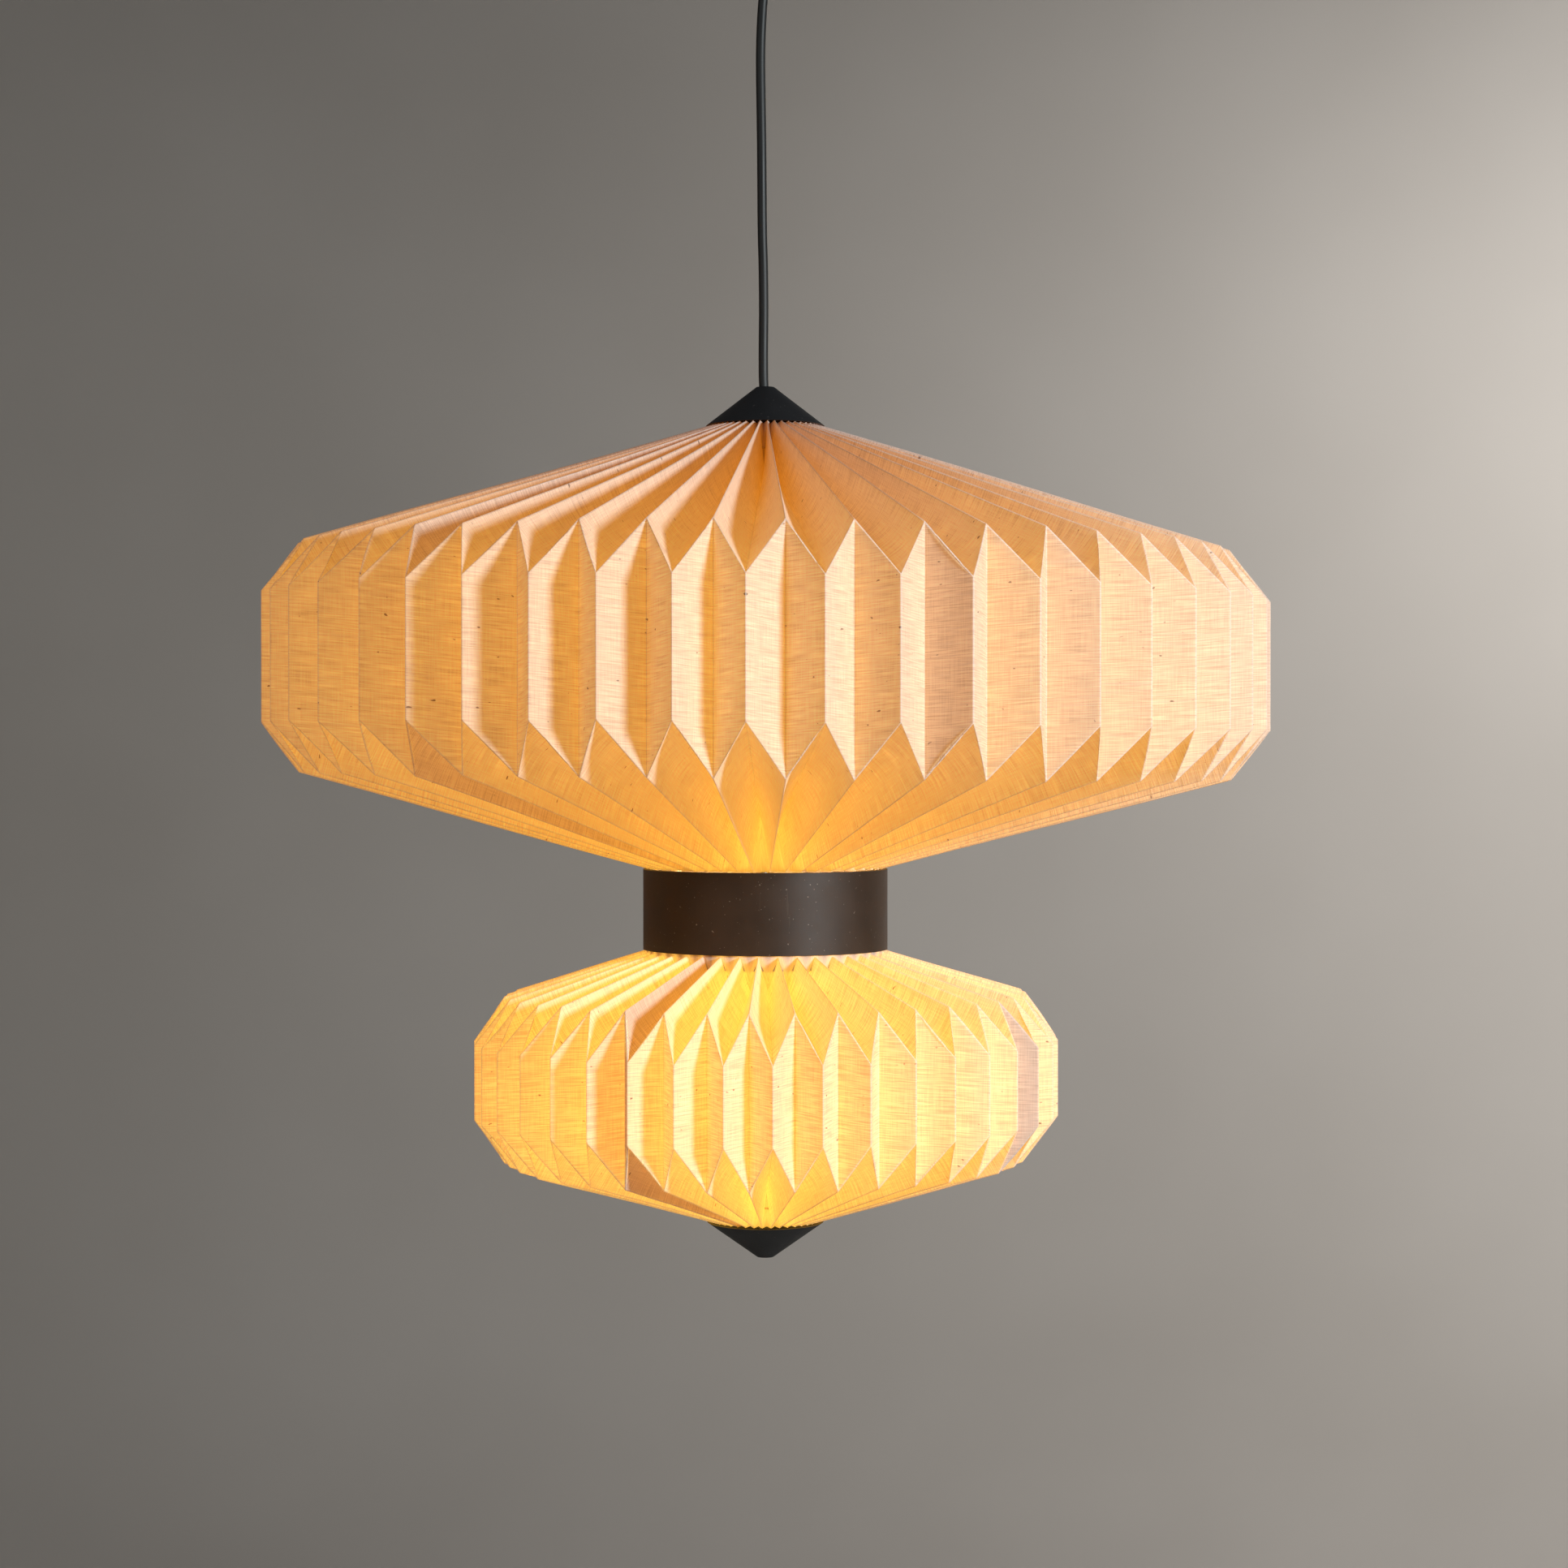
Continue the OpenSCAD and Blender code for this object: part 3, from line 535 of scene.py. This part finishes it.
def make_materials():
    return {
        "linen_upper": linen("linen_upper", UPPER),
        "linen_lower": linen("linen_lower", LOWER),
        "thread": twine("thread"),
        "black_metal": powder_coat("black_metal", (0.010, 0.010, 0.011, 1), 0.5, 0.25),
        "band_metal": powder_coat("band_metal", (0.026, 0.017, 0.012, 1), 0.52, 0.5),
        "cord_rubber": moulded("cord_rubber", (0.008, 0.009, 0.009, 1), 0.5, 1500),
        "black_plastic": moulded("black_plastic", (0.015, 0.015, 0.016, 1), 0.45),
        "seal_rubber": moulded("seal_rubber", (0.02, 0.02, 0.02, 1), 0.7),
        "white_plastic": moulded("white_plastic", (0.78, 0.77, 0.73, 1), 0.35),
        "porcelain": glazed("porcelain", (0.86, 0.84, 0.79, 1)),
        "zinc_steel": metal("zinc_steel", (0.58, 0.58, 0.6, 1), 0.34, 900),
        "brass": metal("brass", (0.78, 0.55, 0.22, 1), 0.3, 900),
        "lead_brown": moulded("lead_brown", (0.20, 0.09, 0.04, 1), 0.45),
        "lead_blue": moulded("lead_blue", (0.04, 0.14, 0.42, 1), 0.45),
        "opal": lit_opal("opal", BULB_STRENGTH),
    }


def dress_cad(materials):
    for part in frame["record"]["subparts"]:
        mesh = frame["nodes"][part["node"]].data
        mesh.materials.clear()
        mesh.materials.append(materials[part["material_slot"]])


# ------------------------------------------------------------------ bulb dome

DOME_RINGS = 20
DOME_SIDES = 48


def make_dome(material):
    """The opal dome as one smooth turned surface that gives the light."""
    low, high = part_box("bulb_dome")
    centre_z = low.z + (high.x - low.x) / 2
    radius = (high.x - low.x) / 2
    mouth = math.asin((high.z - centre_z) / radius)
    verts = [(0, 0, low.z)]
    for i in range(1, DOME_RINGS + 1):
        tilt = -math.pi / 2 + (mouth + math.pi / 2) * i / DOME_RINGS
        verts += ring(radius * math.cos(tilt), centre_z + radius * math.sin(tilt), DOME_SIDES)
    faces = [(0, 1 + (k + 1) % DOME_SIDES, 1 + k) for k in range(DOME_SIDES)]
    faces += ring_faces(DOME_RINGS, DOME_SIDES, first=1)
    faces.append(tuple(range(len(verts) - DOME_SIDES, len(verts))))
    mesh = new_mesh("dome_glass", verts, faces)
    dome = link(bpy.data.objects.new("dome_glass", mesh))
    mesh.materials.append(material)
    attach(dome, "bulb")
    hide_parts("bulb_dome")


# ------------------------------------------------------------------ floor and light

FLOOR_Z = -2.15
ROOM_R = 5.0
ROOM_EDGE = 1.6              # radius of the sweep from the floor to the wall
ROOM_H = 4.2
ROOM_SIDES = 96
SWEEP_STEPS = 16


def make_room():
    """A plain pale floor that sweeps up into a plain wall all round."""
    n = Nodes("pale_floor")
    at = n.node("TexCoord").outputs["Object"]
    patch = n.noise(at, 0.7, 3)
    tone = n.mix(n.spread(patch, 0.3, 0.7), (0.52, 0.48, 0.44, 1), (0.60, 0.56, 0.52, 1))
    face = n.node("BsdfPrincipled", {"Base Color": tone, "Roughness": 0.9, "Specular IOR Level": 0.2})
    material = n.finish(face.outputs[0])
    sweep = [(ROOM_R - ROOM_EDGE + ROOM_EDGE * math.sin(a), FLOOR_Z + ROOM_EDGE * (1 - math.cos(a)))
             for a in np.linspace(0, math.pi / 2, SWEEP_STEPS)]
    profile = [(ROOM_R * 0.3, FLOOR_Z), *sweep, (ROOM_R, FLOOR_Z + ROOM_H)]
    verts = [(0, 0, FLOOR_Z)]
    for radius, z in profile:
        verts += ring(radius, z, ROOM_SIDES)
    faces = [(0, 1 + k, 1 + (k + 1) % ROOM_SIDES) for k in range(ROOM_SIDES)]
    faces += ring_faces(len(profile), ROOM_SIDES, first=1, inward=True)
    mesh = new_mesh("floor", verts, faces)
    mesh.materials.append(material)
    floor = link(bpy.data.objects.new("floor", mesh))


def area_light(name, place, target, size, power, colour):
    data = bpy.data.lights.new(name, "AREA")
    data.shape = "DISK"
    data.size = size
    data.energy = power
    data.color = colour
    light = link(bpy.data.objects.new(name, data))
    light.location = place
    light.rotation_mode = "QUATERNION"
    light.rotation_quaternion = (Vector(target) - Vector(place)).to_track_quat("-Z", "Y")


KEY_AZIMUTH = 46             # degrees to the right of the camera
KEY_HEIGHT = 9
KEY_DISTANCE = 2.4


def make_light():
    centre = Vector((0, 0, -0.5))
    a, e = math.radians(KEY_AZIMUTH), math.radians(KEY_HEIGHT)
    key = centre + KEY_DISTANCE * Vector((math.sin(a) * math.cos(e), -math.cos(a) * math.cos(e), math.sin(e)))
    area_light("key", key, centre, 0.45, 54, (0.88, 0.96, 0.99))
    area_light("fill", (-2.2, -2.2, 0.9), centre, 2.4, 9, (0.93, 0.96, 1.0))
    area_light("back", (1.6, 3.0, 0.3), (2.2, 4.6, -0.5), 1.6, 34, (1.0, 0.99, 0.97))
    world = bpy.data.worlds.new("studio")
    world.use_nodes = True
    world.node_tree.nodes["Background"].inputs[0].default_value = (0.80, 0.80, 0.82, 1)
    world.node_tree.nodes["Background"].inputs[1].default_value = 0.09
    bpy.context.scene.world = world
    bpy.context.scene.view_settings.view_transform = "Standard"


# ------------------------------------------------------------------ the lamp

make_camera()
flex = make_cord()
materials = make_materials()
flex.data.materials.append(materials["cord_rubber"])
dress_cad(materials)
rng = np.random.RandomState(SEED)
make_shade(UPPER, materials["linen_upper"], rng)
make_shade(LOWER, materials["linen_lower"], rng)
make_dome(materials["opal"])
make_room()
make_light()
